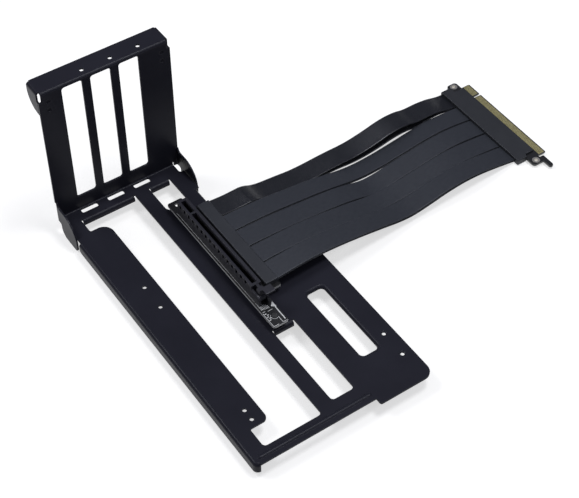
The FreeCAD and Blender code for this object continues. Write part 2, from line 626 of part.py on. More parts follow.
def slot_latch():
    half = SLOT_WIDTH / 2 - CHEEK_THICK - LATCH_SIDE_GAP
    bar_low = LATCH_TOP - LATCH_BAR
    lever = [(-LATCH_ARM_HALF, 0, 0), (LATCH_ARM_HALF, 0, 0), (LATCH_ARM_HALF, LATCH_TOP, LATCH_ROUND),
             (-LATCH_ARM_HALF, LATCH_TOP, 0)]
    hook = [(0, bar_low, 0), (LATCH_NOSE, bar_low, LATCH_ROUND), (LATCH_NOSE, LATCH_TOP, LATCH_ROUND),
            (0, LATCH_TOP, 0)]
    thumb = [(0, bar_low, 0), (0, LATCH_TOP, 0), (-LATCH_THUMB, LATCH_TOP, LATCH_ROUND),
             (-LATCH_THUMB, bar_low, LATCH_ROUND)]
    arm = slab(lever, sideways(-half), EAST * 2 * half)
    nose = slab(hook, sideways(-LATCH_NOSE_HALF), EAST * 2 * LATCH_NOSE_HALF)
    tab = slab(thumb, sideways(LATCH_THUMB_LEFT - SLOT_COLUMN),
               EAST * (LATCH_THUMB_RIGHT - LATCH_THUMB_LEFT))
    knuckle = Part.makeCylinder(LATCH_KNUCKLE, 2 * half, V(-half, 0, 0), EAST)
    reach = SLOT_WIDTH - 2 * PIVOT_GAP
    trunnion = Part.makeCylinder(PIVOT_RADIUS, reach, V(-reach / 2, 0, 0), EAST)
    return arm.fuse([nose, tab, knuckle, trunnion]).removeSplitter().translate(PIVOT)


RIBBON_NEAR = RIBBON_FAR - (len(RIBBON_ROUTES) - 1) * RIBBON_PITCH - RIBBON_WIDTH
RIBBON_SKEW = PLUG_SHIFT / (PLUG_LEFT - HEAD_RIGHT)


def cable_head():
    strip = slab(rectangle(HEAD_LEFT, HEAD_RIGHT, RIBBON_NEAR - HEAD_OVERHANG, RIBBON_FAR + HEAD_OVERHANG),
                 level(BOARD_TOP), UP * HEAD_RISE)
    brim = [edge for edge in strip.Edges if edge.BoundBox.ZMin > BOARD_TOP + HEAD_RISE / 2]
    return strip.makeFillet(HEAD_ROUND, brim)


def ribbon_path(route, y):
    """Straight runs and tangent arcs through the route, skewed towards the plug."""
    points = [V(x, y + (x - HEAD_RIGHT) * RIBBON_SKEW, z) for x, z in route]
    edges = []
    radii = []
    start = points[0]
    for before, here, after in zip(points, points[1:], points[2:]):
        arriving = before - here
        leaving = after - here
        trim = RIBBON_BEND_SHARE * min(arriving.Length, leaving.Length)
        half = arriving.getAngle(leaving) / 2
        radius = trim * math.tan(half)
        arriving.normalize()
        leaving.normalize()
        inward = arriving + leaving
        inward.normalize()
        enter = here + arriving * trim
        leave = here + leaving * trim
        peak = here + inward * (radius / math.sin(half) - radius)
        edges.append(Part.LineSegment(start, enter).toShape())
        edges.append(Part.Arc(enter, peak, leave).toShape())
        radii.append(round(radius))
        start = leave
    edges.append(Part.LineSegment(start, points[-1]).toShape())
    return Part.Wire(edges), radii


def ribbon(index):
    route = RIBBON_ROUTES[index]
    y = RIBBON_FAR - index * RIBBON_PITCH - RIBBON_WIDTH / 2
    path, radii = ribbon_path(route, y)
    start = path.OrderedVertexes[0].Point
    along = path.OrderedVertexes[1].Point - start
    along.normalize()
    across = UP.cross(along)
    across.normalize()
    rise = along.cross(across)
    side = across * (RIBBON_WIDTH / 2)
    lift = rise * (RIBBON_THICK / 2)
    corners = [start - side - lift, start + side - lift, start + side + lift, start - side + lift]
    section = Part.makePolygon(corners + corners[:1])
    strip = path.makePipeShell([section], True, False)
    filled = strip.Volume / (RIBBON_WIDTH * RIBBON_THICK * path.Length)
    flush = strip.common(block(V(HEAD_RIGHT, HOOK_NEAR, 0), V(PLUG_LEFT, 0, PANEL_TOP)))
    print("ribbon", index + 1, "length", round(path.Length - 2 * RIBBON_TUCK, 1), "bend radii", radii,
          "volume ratio", round(filled, 4))
    return flush


PLUG_RIGHT = PLUG_LEFT + PLUG_LENGTH
PLUG_SHOULDER = PLUG_LEFT + PLUG_SHOULDER_LENGTH
PLUG_FAR = RIBBON_FAR + PLUG_SHIFT + PLUG_FAR_MARGIN
PLUG_NEAR = RIBBON_NEAR + PLUG_SHIFT - PLUG_NEAR_MARGIN
PLUG_MIDDLE = PLUG_FLOOR + PLUG_THICK / 2
PLUG_BOARD_FLOOR = PLUG_MIDDLE - EDGE_BOARD / 2
PLUG_BOARD_TOP = PLUG_MIDDLE + EDGE_BOARD / 2
FINGER_EDGE = PLUG_RIGHT + FINGER_REACH
FINGER_ROOT = PLUG_RIGHT - FINGER_TUCK
FINGER_FAR = PLUG_FAR - FINGER_FAR_INSET
KEY_FAR = FINGER_FAR - EDGE_SHORT
KEY_NEAR = KEY_FAR - EDGE_KEY
FINGER_NEAR = KEY_NEAR - EDGE_LONG
LUG_LEFT = FINGER_ROOT - LUG_LENGTH
LUG_FAR = FINGER_FAR + LUG_FAR_REACH
LUG_NEAR = FINGER_NEAR - LUG_NEAR_REACH
EYELET_COLUMN = PLUG_RIGHT - EYELET_INSET
EYELET_FAR = LUG_FAR - EYELET_RIM - EYELET_FLANGE
EYELET_NEAR = LUG_NEAR + EYELET_RIM + EYELET_FLANGE
HOOK_EDGE = FINGER_ROOT + HOOK_WIDTH
HOOK_FAR = FINGER_NEAR - HOOK_GAP
HOOK_NEAR = HOOK_FAR - HOOK_LENGTH



def plug_board():
    left = PLUG_LEFT + PLUG_BOARD_INSET
    inner_far = PLUG_FAR - PLUG_OVERLAP
    inner_near = PLUG_NEAR + PLUG_OVERLAP
    board = slab(
        [(left, inner_far, 0), (LUG_LEFT, inner_far, 0), (LUG_LEFT, LUG_FAR, LUG_ROUND),
         (FINGER_ROOT, LUG_FAR, LUG_ROUND), (FINGER_ROOT, FINGER_FAR, 0),
         (FINGER_EDGE, FINGER_FAR, FINGER_CORNER), (FINGER_EDGE, KEY_FAR, 0),
         (PLUG_RIGHT, KEY_FAR, KEY_ROUND), (PLUG_RIGHT, KEY_NEAR, KEY_ROUND),
         (FINGER_EDGE, KEY_NEAR, 0), (FINGER_EDGE, FINGER_NEAR, FINGER_CORNER),
         (FINGER_ROOT, FINGER_NEAR, NOTCH_ROUND), (FINGER_ROOT, HOOK_FAR, NOTCH_ROUND),
         (HOOK_EDGE, HOOK_FAR, NOTCH_ROUND), (HOOK_EDGE, HOOK_NEAR, HOOK_ROUND),
         (FINGER_ROOT, HOOK_NEAR, HOOK_ROUND), (FINGER_ROOT, LUG_NEAR, NOTCH_ROUND),
         (LUG_LEFT, LUG_NEAR, LUG_ROUND), (LUG_LEFT, inner_near, 0), (left, inner_near, 0)],
        level(PLUG_BOARD_FLOOR), UP * EDGE_BOARD)
    bevel = FINGER_EDGE - FINGER_BEVEL_RUN
    cuts = [drill(EYELET_COLUMN, y, EYELET_HOLE + EYELET_WALL, PLUG_BOARD_FLOOR, PLUG_BOARD_TOP)
            for y in (EYELET_FAR, EYELET_NEAR)]
    for face, drop in ((PLUG_BOARD_TOP, -FINGER_BEVEL_DROP), (PLUG_BOARD_FLOOR, FINGER_BEVEL_DROP)):
        wedge = [(bevel, face, 0), (FINGER_EDGE, face, 0), (FINGER_EDGE, face + drop, 0)]
        cuts.append(slab(wedge, upright(FINGER_NEAR), BACK * (FINGER_FAR - FINGER_NEAR)))
    return board.cut(cuts)


def plug_cover(rise):
    waist_far = PLUG_FAR - PLUG_FAR_STEP
    waist_near = PLUG_NEAR + PLUG_NEAR_STEP
    half = slab(
        [(PLUG_LEFT, PLUG_FAR, 0), (PLUG_SHOULDER, PLUG_FAR, PLUG_CORNER),
         (PLUG_SHOULDER, waist_far, PLUG_CORNER), (PLUG_RIGHT, waist_far, PLUG_CORNER),
         (PLUG_RIGHT, waist_near, PLUG_CORNER), (PLUG_SHOULDER, waist_near, PLUG_CORNER),
         (PLUG_SHOULDER, PLUG_NEAR, PLUG_CORNER), (PLUG_LEFT, PLUG_NEAR, 0)],
        level(PLUG_MIDDLE), rise)
    brim = [edge for edge in half.Edges if abs(edge.BoundBox.Center.z - PLUG_MIDDLE) > PLUG_THICK / 3]
    return half.makeFillet(PLUG_EDGE_ROUND, brim).cut(plug_board())


def plug_contacts(low):
    right = FINGER_EDGE - FINGER_BEVEL_RUN
    return Part.makeCompound(
        [block(V(right - PAD_LENGTH, y - PAD_WIDTH / 2, low), V(right, y + PAD_WIDTH / 2, low + PAD_THICK))
         for y in contact_rows(FINGER_FAR)])


def plug_eyelets():
    barrel = EYELET_HOLE + EYELET_WALL
    outline = [(EYELET_HOLE, PLUG_BOARD_FLOOR - EYELET_FLANGE_THICK),
               (EYELET_FLANGE, PLUG_BOARD_FLOOR - EYELET_FLANGE_THICK), (EYELET_FLANGE, PLUG_BOARD_FLOOR),
               (barrel, PLUG_BOARD_FLOOR), (barrel, PLUG_BOARD_TOP), (EYELET_FLANGE, PLUG_BOARD_TOP),
               (EYELET_FLANGE, PLUG_BOARD_TOP + EYELET_FLANGE_THICK),
               (EYELET_HOLE, PLUG_BOARD_TOP + EYELET_FLANGE_THICK)]
    return Part.makeCompound([turned(outline, EYELET_COLUMN, y) for y in (EYELET_FAR, EYELET_NEAR)])


pieces = {
    "bracket": bracket(),
    "board_standoffs": board_standoffs(),
    "board_screws": board_screws(),
    "slot_board": slot_board(),
    "slot_housing": slot_housing(),
    "slot_contacts_left": slot_contacts(SLOT_COLUMN - SLOT_CAVITY / 2, EAST),
    "slot_contacts_right": slot_contacts(SLOT_COLUMN + SLOT_CAVITY / 2, WEST),
    "slot_latch": slot_latch(),
    "cable_head": cable_head(),
    "plug_board": plug_board(),
    "plug_cover_top": plug_cover(UP * (PLUG_THICK / 2)),
    "plug_cover_bottom": plug_cover(UP * (-PLUG_THICK / 2)),
    "plug_contacts_top": plug_contacts(PLUG_BOARD_TOP),
    "plug_contacts_bottom": plug_contacts(PLUG_BOARD_FLOOR - PAD_THICK),
    "plug_eyelets": plug_eyelets(),
}
for number in range(len(RIBBON_ROUTES)):
    pieces["ribbon_" + str(number + 1)] = ribbon(number)

for name, shape in pieces.items():
    shape.translate(ORIGIN * -1)
    shape.exportStep("parts/" + name + ".step")
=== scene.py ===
"""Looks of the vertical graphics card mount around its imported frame."""

import math

import bmesh
import bpy
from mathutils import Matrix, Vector


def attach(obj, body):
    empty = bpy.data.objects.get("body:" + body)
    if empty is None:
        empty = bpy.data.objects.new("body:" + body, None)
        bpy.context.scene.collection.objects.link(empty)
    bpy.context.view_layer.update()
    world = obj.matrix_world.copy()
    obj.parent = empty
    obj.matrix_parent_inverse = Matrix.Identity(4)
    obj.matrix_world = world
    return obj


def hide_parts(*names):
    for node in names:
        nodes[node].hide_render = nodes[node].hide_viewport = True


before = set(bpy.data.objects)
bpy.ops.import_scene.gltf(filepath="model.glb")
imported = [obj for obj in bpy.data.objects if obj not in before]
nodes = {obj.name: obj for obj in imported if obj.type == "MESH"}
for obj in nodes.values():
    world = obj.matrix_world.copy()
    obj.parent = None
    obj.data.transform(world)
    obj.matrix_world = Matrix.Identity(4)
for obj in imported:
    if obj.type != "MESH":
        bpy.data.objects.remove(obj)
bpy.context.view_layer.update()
MM = 0.001
UP = Vector((0.0, 0.0, 1.0))
ORIGIN = Vector((19.85, -114.1, 0.0))    # the frame's zero point, in the part's own mm

# camera at the photograph's viewing angle, places in metres
CAMERA_PLACE = Vector((-0.31748, -0.52943, 0.73443))
CAMERA_AIM = Vector((0.04829, 0.00384, 0.0111))
CAMERA_LENS = 91.896
CAMERA_SENSOR = 36.0
CAMERA_NEAR = 0.02

# five flat cables, far cable first, each route as (x, z) of its middle line in mm
RIBBON_ROUTES = (
    ((41.5, 19.5), (52.0, 17.9), (62.0, 17.5), (70.0, 17.5), (79.5, 12.3), (97.0, 9.9), (113.0, 6.9),
     (140.0, 6.2), (158.0, 4.2), (176.0, 5.6), (190.0, 8.2), (203.0, 8.2), (212.0, 5.8), (224.0, 6.2),
     (235.0, 5.2), (243.0, 2.7), (251.9, 1.5)),
    ((41.5, 19.5), (64.5, 18.4), (92.5, 14.1), (119.0, 9.7), (146.0, 2.8), (166.0, 2.0), (188.0, 3.5),
     (208.0, 5.4), (230.0, 5.4), (251.9, 1.4)),
    ((41.5, 19.5), (64.5, 18.4), (92.5, 14.3), (119.0, 10.3), (133.0, 7.0), (148.0, 2.1), (160.0, 1.7),
     (172.0, 3.2), (188.0, 4.5), (208.0, 6.2), (230.0, 5.9), (251.9, 1.4)),
    ((41.5, 19.5), (64.5, 19.2), (92.5, 15.7), (119.0, 10.5), (149.0, 3.0), (181.5, 5.1), (208.0, 7.6),
     (232.0, 5.1), (251.9, 1.4)),
    ((41.5, 19.5), (66.5, 20.8), (92.5, 18.0), (123.0, 12.0), (152.0, 5.0), (170.0, 6.5), (188.0, 9.3),
     (208.0, 9.8), (230.0, 6.5), (251.9, 1.4)),
)
RIBBON_GROOVES = (0.0, 0.9, 0.4, 0.7, 0.4)    # how much narrower each upper layer is than the lower one
RIBBON_SPREADS = (5.0, 0.1, 0.1, 0.4, 0.6)    # most room that opens between a cable's two layers
RIBBON_PEAKS = (2.0, 1.6, 1.0, 1.0, 1.6)      # above 1, that room and the lean are nearer to the plug
RIBBON_ROLLS = (0.0, -8.0, 0.0, 0.0, -5.0)    # most lean about its own line, in degrees
RIBBON_FAR = -50.8
RIBBON_PITCH = 16.6
RIBBON_WIDTH = 16.2
RIBBON_LAYER = 0.9             # thickness of one of the two layers
RIBBON_BOND = 0.1              # least room between the layers
RIBBON_RIBS = 17               # fine ribs across the jacket
RIBBON_EDGE_TURNS = (90, 68, 45, 22, 0)       # corners round a layer's edge, in degrees
RIBBON_FLAT_INSET = 1.2        # from a layer's edge in to its evenly divided flat
RIBBON_FLAT_STEPS = 8          # divisions of each half of that flat
RIBBON_ROUTE_STEPS = 10        # points of the smooth line for each span of the route
RIBBON_CREASE = 50             # a sharper corner than this, in degrees, isn't shaded smooth
HEAD_RIGHT = 43.5
PLUG_LEFT = 249.9
PLUG_SHIFT = 8.9

# pale print on the slot board in mm, each line as its start, end and width
BOARD_TOP = 17.2
PRINT_LIFT = 0.03              # from the board up to the top of the ink
PRINT_THICK = 0.025
PRINT_LINES = (
    ((21.35, -46.0), (21.35, -139.5), 0.22),
    ((20.45, -150.5), (20.45, -162.7), 0.28), ((20.45, -162.7), (24.3, -162.7), 0.30),
    ((27.4, -162.7), (31.0, -162.7), 0.30), ((27.4, -162.7), (27.4, -157.4), 0.30),
    ((30.2, -149.6), (30.0, -161.3), 0.66),
    ((24.2, -150.3), (27.6, -150.3), 0.30), ((20.6, -149.6), (22.6, -149.6), 0.30),
)
PRINT_ARROW = ((31.0, -144.8), (28.2, -147.9), (31.0, -150.2))
TICK_COUNT = 7
TICK_WIDTH = 0.30
TICK_LEFT = 21.4
TICK_PITCH = 0.85
TICK_FAR = -140.4
TICK_FAR_DROP = 0.9            # each tick starts this much nearer than the one before
TICK_NEAR = -147.6
TICK_NEAR_DROP = 0.15
DASH_COUNT = 5
DASH_WIDTH = 0.55
DASH_LENGTH = 1.3
DASH_LEFT = 21.0
DASH_STAGGER = 0.9
DASH_FAR = -151.5
DASH_PITCH = 1.4
RING_X = 25.8
RING_Y = -155.5
RING_INNER = 2.55
RING_OUTER = 2.75
RING_STEPS = 32                # steps of a whole turn
RING_FIRST = 12
RING_LAST = 26

# tones that several finishes or the room share
COOL_SHEEN = (0.90, 0.92, 1.0)
WORN_GAIN = 2.2                # a rubbed moulding edge against its pale tone
SKY_STOPS = ((0.0, (0.06, 0.06, 0.07)), (0.45, (0.20, 0.205, 0.245)), (0.80, (0.24, 0.245, 0.29)),
             (1.0, (0.40, 0.41, 0.46)))
FLOOR_REACH = 3.0
FLOOR_TONE = (0.45, 0.45, 0.45)
FLOOR_GLOW = 0.60              # brings the lit table up to white for the eye and for reflections


def at(x, y, z):
    """A place in the part's own mm, in the frame's metres."""
    return (Vector((x, y, z)) - ORIGIN) * MM


def link(obj):
    bpy.context.scene.collection.objects.link(obj)
    return obj


def turned_to(place, aim):
    """Turn of a camera or lamp that looks from place to aim."""
    return (aim - place).to_track_quat("-Z", "Y").to_euler()


def photo_camera():
    lens = bpy.data.cameras.new("photo_camera")
    lens.sensor_fit = "HORIZONTAL"
    lens.sensor_width = CAMERA_SENSOR
    lens.lens = CAMERA_LENS
    lens.clip_start = CAMERA_NEAR
    camera = link(bpy.data.objects.new("photo_camera", lens))
    camera.location = CAMERA_PLACE
    camera.rotation_euler = turned_to(CAMERA_PLACE, CAMERA_AIM)
    bpy.context.scene.camera = camera


class Tree:
    """A node tree with short ways to add and join its nodes."""

    def __init__(self, tree):
        self.tree = tree

    def node(self, kind, **settings):
        made = self.tree.nodes.new("ShaderNode" + kind)
        for key, value in settings.items():
            setattr(made, key, value)
        return made

    def feed(self, socket, value):
        """Join another node's output, or set the socket's own value."""
        if isinstance(value, bpy.types.NodeSocket):
            self.tree.links.new(value, socket)
        elif isinstance(value, tuple) and socket.type == "RGBA":
            socket.default_value = (*value, 1.0)
        else:
            socket.default_value = value

    def place(self):
        return self.node("TexCoord").outputs["Object"]

    def noise(self, scale, detail=4.0, rough=0.55, vector=None):
        made = self.node("TexNoise")
        self.feed(made.inputs["Scale"], scale)
        self.feed(made.inputs["Detail"], detail)
        self.feed(made.inputs["Roughness"], rough)
        self.feed(made.inputs["Vector"], vector or self.place())
        return made.outputs["Fac"]

    def stretched(self, vector, scale):
        made = self.node("Mapping")
        self.feed(made.inputs["Vector"], vector)
        self.feed(made.inputs["Scale"], scale)
        return made.outputs["Vector"]

    def split(self, vector):
        made = self.node("SeparateXYZ")
        self.feed(made.inputs[0], vector)
        return made.outputs

    def maths(self, operation, first, second=0.0):
        made = self.node("Math", operation=operation)
        self.feed(made.inputs[0], first)
        self.feed(made.inputs[1], second)
        return made.outputs[0]

    def between(self, value, low, high, least=0.0, most=1.0):
        """Value from low to high, spread over least to most."""
        made = self.node("MapRange")
        for name, given in (("Value", value), ("From Min", low), ("From Max", high), ("To Min", least),
                            ("To Max", most)):
            self.feed(made.inputs[name], given)
        return made.outputs["Result"]

    def blend(self, share, first, second):
        """Colour from first to second; the node keeps its colour sockets at 6, 7 and output 2."""
        made = self.node("Mix", data_type="RGBA")
        self.feed(made.inputs["Factor"], share)
        self.feed(made.inputs[6], first)
        self.feed(made.inputs[7], second)
        return made.outputs[2]

    def bump(self, height, distance, strength, under=None):
        made = self.node("Bump")
        self.feed(made.inputs["Strength"], strength)
        self.feed(made.inputs["Distance"], distance)
        self.feed(made.inputs["Height"], height)
        if under is not None:
            self.feed(made.inputs["Normal"], under)
        return made.outputs["Normal"]


class Finish(Tree):
    """A material, its effects placed as groups and its shader kept in itself."""

    def __init__(self, name):
        self.material = bpy.data.materials.new(name)
        self.material.use_nodes = True
        super().__init__(self.material.node_tree)
        self.surface = self.tree.nodes["Principled BSDF"]

    def effect(self, group, **values):
        made = self.node("Group", node_tree=group)
        for name, value in values.items():
            self.feed(made.inputs[name.replace("_", " ")], value)
        return made.outputs

    def give(self, **values):
        for name, value in values.items():
            self.feed(self.surface.inputs[name.replace("_", " ")], value)


def effect_group(name, inputs, outputs):
    """An empty group with named sockets, and its two ends."""
    tree = bpy.data.node_groups.new(name, "ShaderNodeTree")
    for label, kind in inputs:
        tree.interface.new_socket(label, in_out="INPUT", socket_type="NodeSocket" + kind)
    for label, kind in outputs:
        tree.interface.new_socket(label, in_out="OUTPUT", socket_type="NodeSocket" + kind)
    return Tree(tree), tree.nodes.new("NodeGroupInput").outputs, tree.nodes.new("NodeGroupOutput").inputs


def rubbed_and_sheen_edges_group():
    """Rounded normals at edges, and a broken mask along them, used for rubbed wear and, on the steel, for a
    painted edge highlight.
    """
    tree, given, out = effect_group(
        "rubbed_and_sheen_edges", (("Radius", "Float"), ("Break Up", "Float")),
        (("Normal", "Vector"), ("Rub_And_Sheen", "Float")))
    rounded = tree.node("Bevel", samples=6)
    tree.feed(rounded.inputs["Radius"], given["Radius"])
    lean = tree.node("VectorMath", operation="DOT_PRODUCT")
    tree.feed(lean.inputs[0], rounded.outputs["Normal"])
    tree.feed(lean.inputs[1], tree.node("NewGeometry").outputs["Normal"])
    edge = tree.between(lean.outputs["Value"], 0.995, 0.80)
    patchy = tree.between(tree.noise(given["Break Up"], rough=0.6), 0.42, 0.68, 0.12, 1.0)
    tree.feed(out["Rub_And_Sheen"], tree.maths("MULTIPLY", edge, patchy))
    tree.feed(out["Normal"], rounded.outputs["Normal"])
    return tree.tree


def cloudy_tone_group():
    """A colour that drifts between two tones."""
    tree, given, out = effect_group(
        "cloudy_tone", (("Scale", "Float"), ("Dark", "Color"), ("Pale", "Color")), (("Color", "Color"),))
    cloud = tree.between(tree.noise(given["Scale"]), 0.30, 0.72)
    tree.feed(out["Color"], tree.blend(cloud, given["Dark"], given["Pale"]))
    return tree.tree


def fine_skin_group():
    """A fine grain raised on a normal."""
    tree, given, out = effect_group(
        "fine_skin", (("Scale", "Float"), ("Depth", "Float"), ("Strength", "Float"), ("Normal", "Vector")),
        (("Normal", "Vector"), ("Grain", "Float")))
    grain = tree.noise(given["Scale"], detail=2.0)
    tree.feed(out["Normal"], tree.bump(grain, given["Depth"], given["Strength"], given["Normal"]))
    tree.feed(out["Grain"], grain)
    return tree.tree


def uneven_gloss_group():
    """A roughness that wanders between two values, with faint wipe marks."""
    tree, given, out = effect_group(
        "uneven_gloss", (("Scale", "Float"), ("Least", "Float"), ("Most", "Float")),
        (("Roughness", "Float"),))
    wipes = tree.noise(given["Scale"], rough=0.6, vector=tree.stretched(tree.place(), (1.0, 0.35, 1.0)))
    tree.feed(out["Roughness"], tree.between(wipes, 0.26, 0.78, given["Least"], given["Most"]))
    return tree.tree


RUBBED_AND_SHEEN_EDGES = rubbed_and_sheen_edges_group()
CLOUDY_TONE = cloudy_tone_group()
FINE_SKIN = fine_skin_group()
UNEVEN_GLOSS = uneven_gloss_group()


def painted_steel():
    """Satin black powder coat: orange-peel skin, fine flecks, rubbed edges paled further as a painted
    highlight.
    """
    look = Finish("painted_steel")
    edge = look.effect(RUBBED_AND_SHEEN_EDGES, Radius=0.00045, Break_Up=210.0)
    tone = look.effect(CLOUDY_TONE, Scale=26.0, Dark=(0.0115, 0.0116, 0.0172),
                       Pale=(0.0150, 0.0153, 0.0222))
    peel = look.effect(FINE_SKIN, Scale=900.0, Depth=0.00008, Strength=0.16, Normal=edge["Normal"])
    grit = look.effect(FINE_SKIN, Scale=4200.0, Depth=0.00003, Strength=0.25, Normal=peel["Normal"])
    flecks = look.between(grit["Grain"], 0.66, 0.80, 0.0, 0.5)
    flecked = look.blend(flecks, tone["Color"], (0.019, 0.019, 0.025))
    look.give(
        # edges paler where rubbed, and raised past that as a painted highlight along edges and bends
        Base_Color=look.blend(edge["Rub_And_Sheen"], flecked, (0.058, 0.059, 0.068)),
        Roughness=look.effect(UNEVEN_GLOSS, Scale=60.0, Least=0.29, Most=0.37)["Roughness"],
        Specular_IOR_Level=0.09,
        Specular_Tint=COOL_SHEEN,
        Normal=grit["Normal"])
    return look.material


def black_moulding(name, dark, pale, rough):
    """Glass-filled black nylon with a spark-eroded skin."""
    look = Finish(name)
    edge = look.effect(RUBBED_AND_SHEEN_EDGES, Radius=0.00018, Break_Up=600.0)
    tone = look.effect(CLOUDY_TONE, Scale=75.0, Dark=dark, Pale=pale)
    skin = look.effect(FINE_SKIN, Scale=3400.0, Depth=0.00004, Strength=0.45, Normal=edge["Normal"])
    gloss = look.effect(UNEVEN_GLOSS, Scale=240.0, Least=rough - 0.06, Most=rough + 0.07)
    worn = tuple(WORN_GAIN * channel for channel in pale)
    look.give(
        Base_Color=look.blend(edge["Rub_And_Sheen"], tone["Color"], worn),
        Roughness=gloss["Roughness"],
        Specular_IOR_Level=0.42,
        Specular_Tint=COOL_SHEEN,
        Normal=skin["Normal"])
    return look.material


def board_mask(name, cut_dark, cut_pale):
    """Glossy black solder mask over faint copper runs, with cut edges in the given tones; the slot board's
    pale cut edges are partly painted light.
    """
    look = Finish(name)
    runs = look.node("TexWave", wave_type="BANDS", bands_direction="DIAGONAL")
    for label, value in (("Vector", look.place()), ("Scale", 420.0), ("Distortion", 2.2), ("Detail", 1.0),
                         ("Detail Scale", 0.4)):
        look.feed(runs.inputs[label], value)
    copper = look.between(runs.outputs["Fac"], 0.52, 0.60)
    mask = look.blend(copper, (0.0060, 0.0062, 0.0074), (0.0105, 0.0110, 0.0130))
    upward = look.split(look.node("NewGeometry").outputs["True Normal"])["Z"]
    flat = look.between(look.maths("ABSOLUTE", upward), 0.35, 0.75)
    weave = look.effect(CLOUDY_TONE, Scale=1900.0, Dark=cut_dark, Pale=cut_pale)
    look.give(
        Base_Color=look.blend(flat, weave["Color"], mask),
        Roughness=look.effect(UNEVEN_GLOSS, Scale=140.0, Least=0.26, Most=0.36)["Roughness"],
        Specular_IOR_Level=0.45,
        Normal=look.bump(copper, distance=0.00003, strength=0.4))
    return look.material


def plated_metal(name, dull_tone, bright, rough):
    """Bare plating with fine rolling marks and a slightly uneven tarnish from the dull tone to the bright
    one; on the slot contacts both tones are painted shade.
    """
    look = Finish(name)
    rolled = look.stretched(look.place(), (900.0, 5200.0, 900.0))
    marks = look.noise(1.0, detail=3.0, rough=0.6, vector=rolled)
    look.give(
        Base_Color=look.effect(CLOUDY_TONE, Scale=320.0, Dark=dull_tone, Pale=bright)["Color"],
        Metallic=1.0,
        Roughness=look.between(marks, 0.25, 0.80, rough - 0.08, rough + 0.10),
        Normal=look.bump(marks, distance=0.00002, strength=0.35))
    return look.material


def print_ink():
    """Pale legend ink, thin enough to look a little broken."""
    look = Finish("print_ink")
    face = look.node("NewGeometry").outputs["Normal"]
    skin = look.effect(FINE_SKIN, Scale=2300.0, Depth=0.00002, Strength=0.5, Normal=face)
    cover = look.between(skin["Grain"], 0.30, 0.55)
    look.give(
        Base_Color=look.blend(cover, (0.26, 0.27, 0.28), (0.60, 0.61, 0.62)),
        Roughness=look.effect(UNEVEN_GLOSS, Scale=300.0, Least=0.50, Most=0.65)["Roughness"],
        Normal=skin["Normal"])
    return look.material


def cable_jacket(name, dark, pale, rough, rib_height, rib_strength):
    """Black jacket with fine ribs, dragged along its length."""
    look = Finish(name)
    lie = look.node("UVMap", uv_map="lie").outputs["UV"]
    wave = look.maths("MULTIPLY", look.split(lie)["X"], math.tau * RIBBON_RIBS)
    ribbed = look.bump(look.maths("SINE", wave), rib_height, rib_strength)
    skin = look.effect(FINE_SKIN, Scale=2600.0, Depth=0.00003, Strength=rough * 0.5, Normal=ribbed)
    drag = look.between(look.noise(1.0, vector=look.stretched(lie, (9.0, 60.0, 1.0))), 0.28, 0.76)
    look.give(
        Base_Color=look.blend(drag, dark, pale),
        Roughness=look.between(drag, 0.0, 1.0, rough - 0.05, rough + 0.06),
        Specular_IOR_Level=0.42,
        Specular_Tint=COOL_SHEEN,
        Normal=skin["Normal"])
    return look.material


def ribbon_middle(index):
    """Place of a cable's middle at the head, across the row of cables."""
    return RIBBON_FAR - index * RIBBON_PITCH - RIBBON_WIDTH / 2


def ribbon_points(index):
    """The route's own smooth line, as Blender draws it."""
    y = ribbon_middle(index)
    skew = PLUG_SHIFT / (PLUG_LEFT - HEAD_RIGHT)
    curve = bpy.data.curves.new("ribbon_line", "CURVE")
    curve.dimensions = "3D"
    spline = curve.splines.new("NURBS")
    route = RIBBON_ROUTES[index]
    spline.points.add(len(route) - 1)
    for point, (x, z) in zip(spline.points, route):
        point.co = (*at(x, y + (x - HEAD_RIGHT) * skew, z), 1.0)
    spline.order_u = 3
    spline.use_endpoint_u = True
    spline.resolution_u = RIBBON_ROUTE_STEPS
    holder = bpy.data.objects.new("ribbon_line", curve)
    line = bpy.data.meshes.new_from_object(holder)
    points = [vertex.co.copy() for vertex in line.vertices]
    bpy.data.objects.remove(holder)
    bpy.data.curves.remove(curve)
    bpy.data.meshes.remove(line)
    return points


def layer_section(groove):
    """One flat layer with rounded edges, as (across, height) in mm, once round."""
    half = (RIBBON_WIDTH - groove) / 2
    rise = RIBBON_LAYER / 2
    turns = [math.radians(angle) for angle in RIBBON_EDGE_TURNS]
    right = [(half - rise + rise * math.cos(turn), rise * math.sin(turn)) for turn in turns]
    left = [(-across, height) for across, height in reversed(right)]
    steps = range(-RIBBON_FLAT_STEPS, RIBBON_FLAT_STEPS + 1)
    flat = [(step * (half - RIBBON_FLAT_INSET) / RIBBON_FLAT_STEPS, rise) for step in steps]
    upper = left + flat + right
    return upper + [(across, -height) for across, height in reversed(upper[1:-1])]


def layer_rings(index, points, side, section):
    """One layer's corners, ring after ring, and where each lies on the jacket."""
    first_x = points[0].x
    span = points[-1].x - first_x
    corners = []
    lies = []
    for spot, here in enumerate(points):
        share = (here.x - first_x) / span
        swell = math.sin(math.pi * share ** RIBBON_PEAKS[index])
        along = points[min(spot + 1, len(points) - 1)] - points[max(spot - 1, 0)]
        along.normalize()
        across = UP.cross(along).normalized()
        lean = math.radians(RIBBON_ROLLS[index] * swell)
        across = across * math.cos(lean) + along.cross(across) * math.sin(lean)
        rise = along.cross(across)
        stand = (RIBBON_LAYER + RIBBON_BOND + RIBBON_SPREADS[index] * swell ** 2) / 2
        middle = here + rise * side * stand * MM
        corners += [middle + (across * u + rise * w) * MM for u, w in section]
        lies += [(u / RIBBON_WIDTH, share) for u, w in section]
    return corners, lies


def layer_faces(first, count, rings):
    """One layer's end cap, its skin from ring to ring and its other end cap."""
    faces = [tuple(range(first, first + count))]
    for ring in range(rings - 1):
        here = first + ring * count
        beyond = here + count
        for corner in range(count):
            after = (corner + 1) % count
            faces.append((here + corner, beyond + corner, beyond + after, here + after))
    last = first + (rings - 1) * count
    faces.append(tuple(reversed(range(last, last + count))))
    return faces


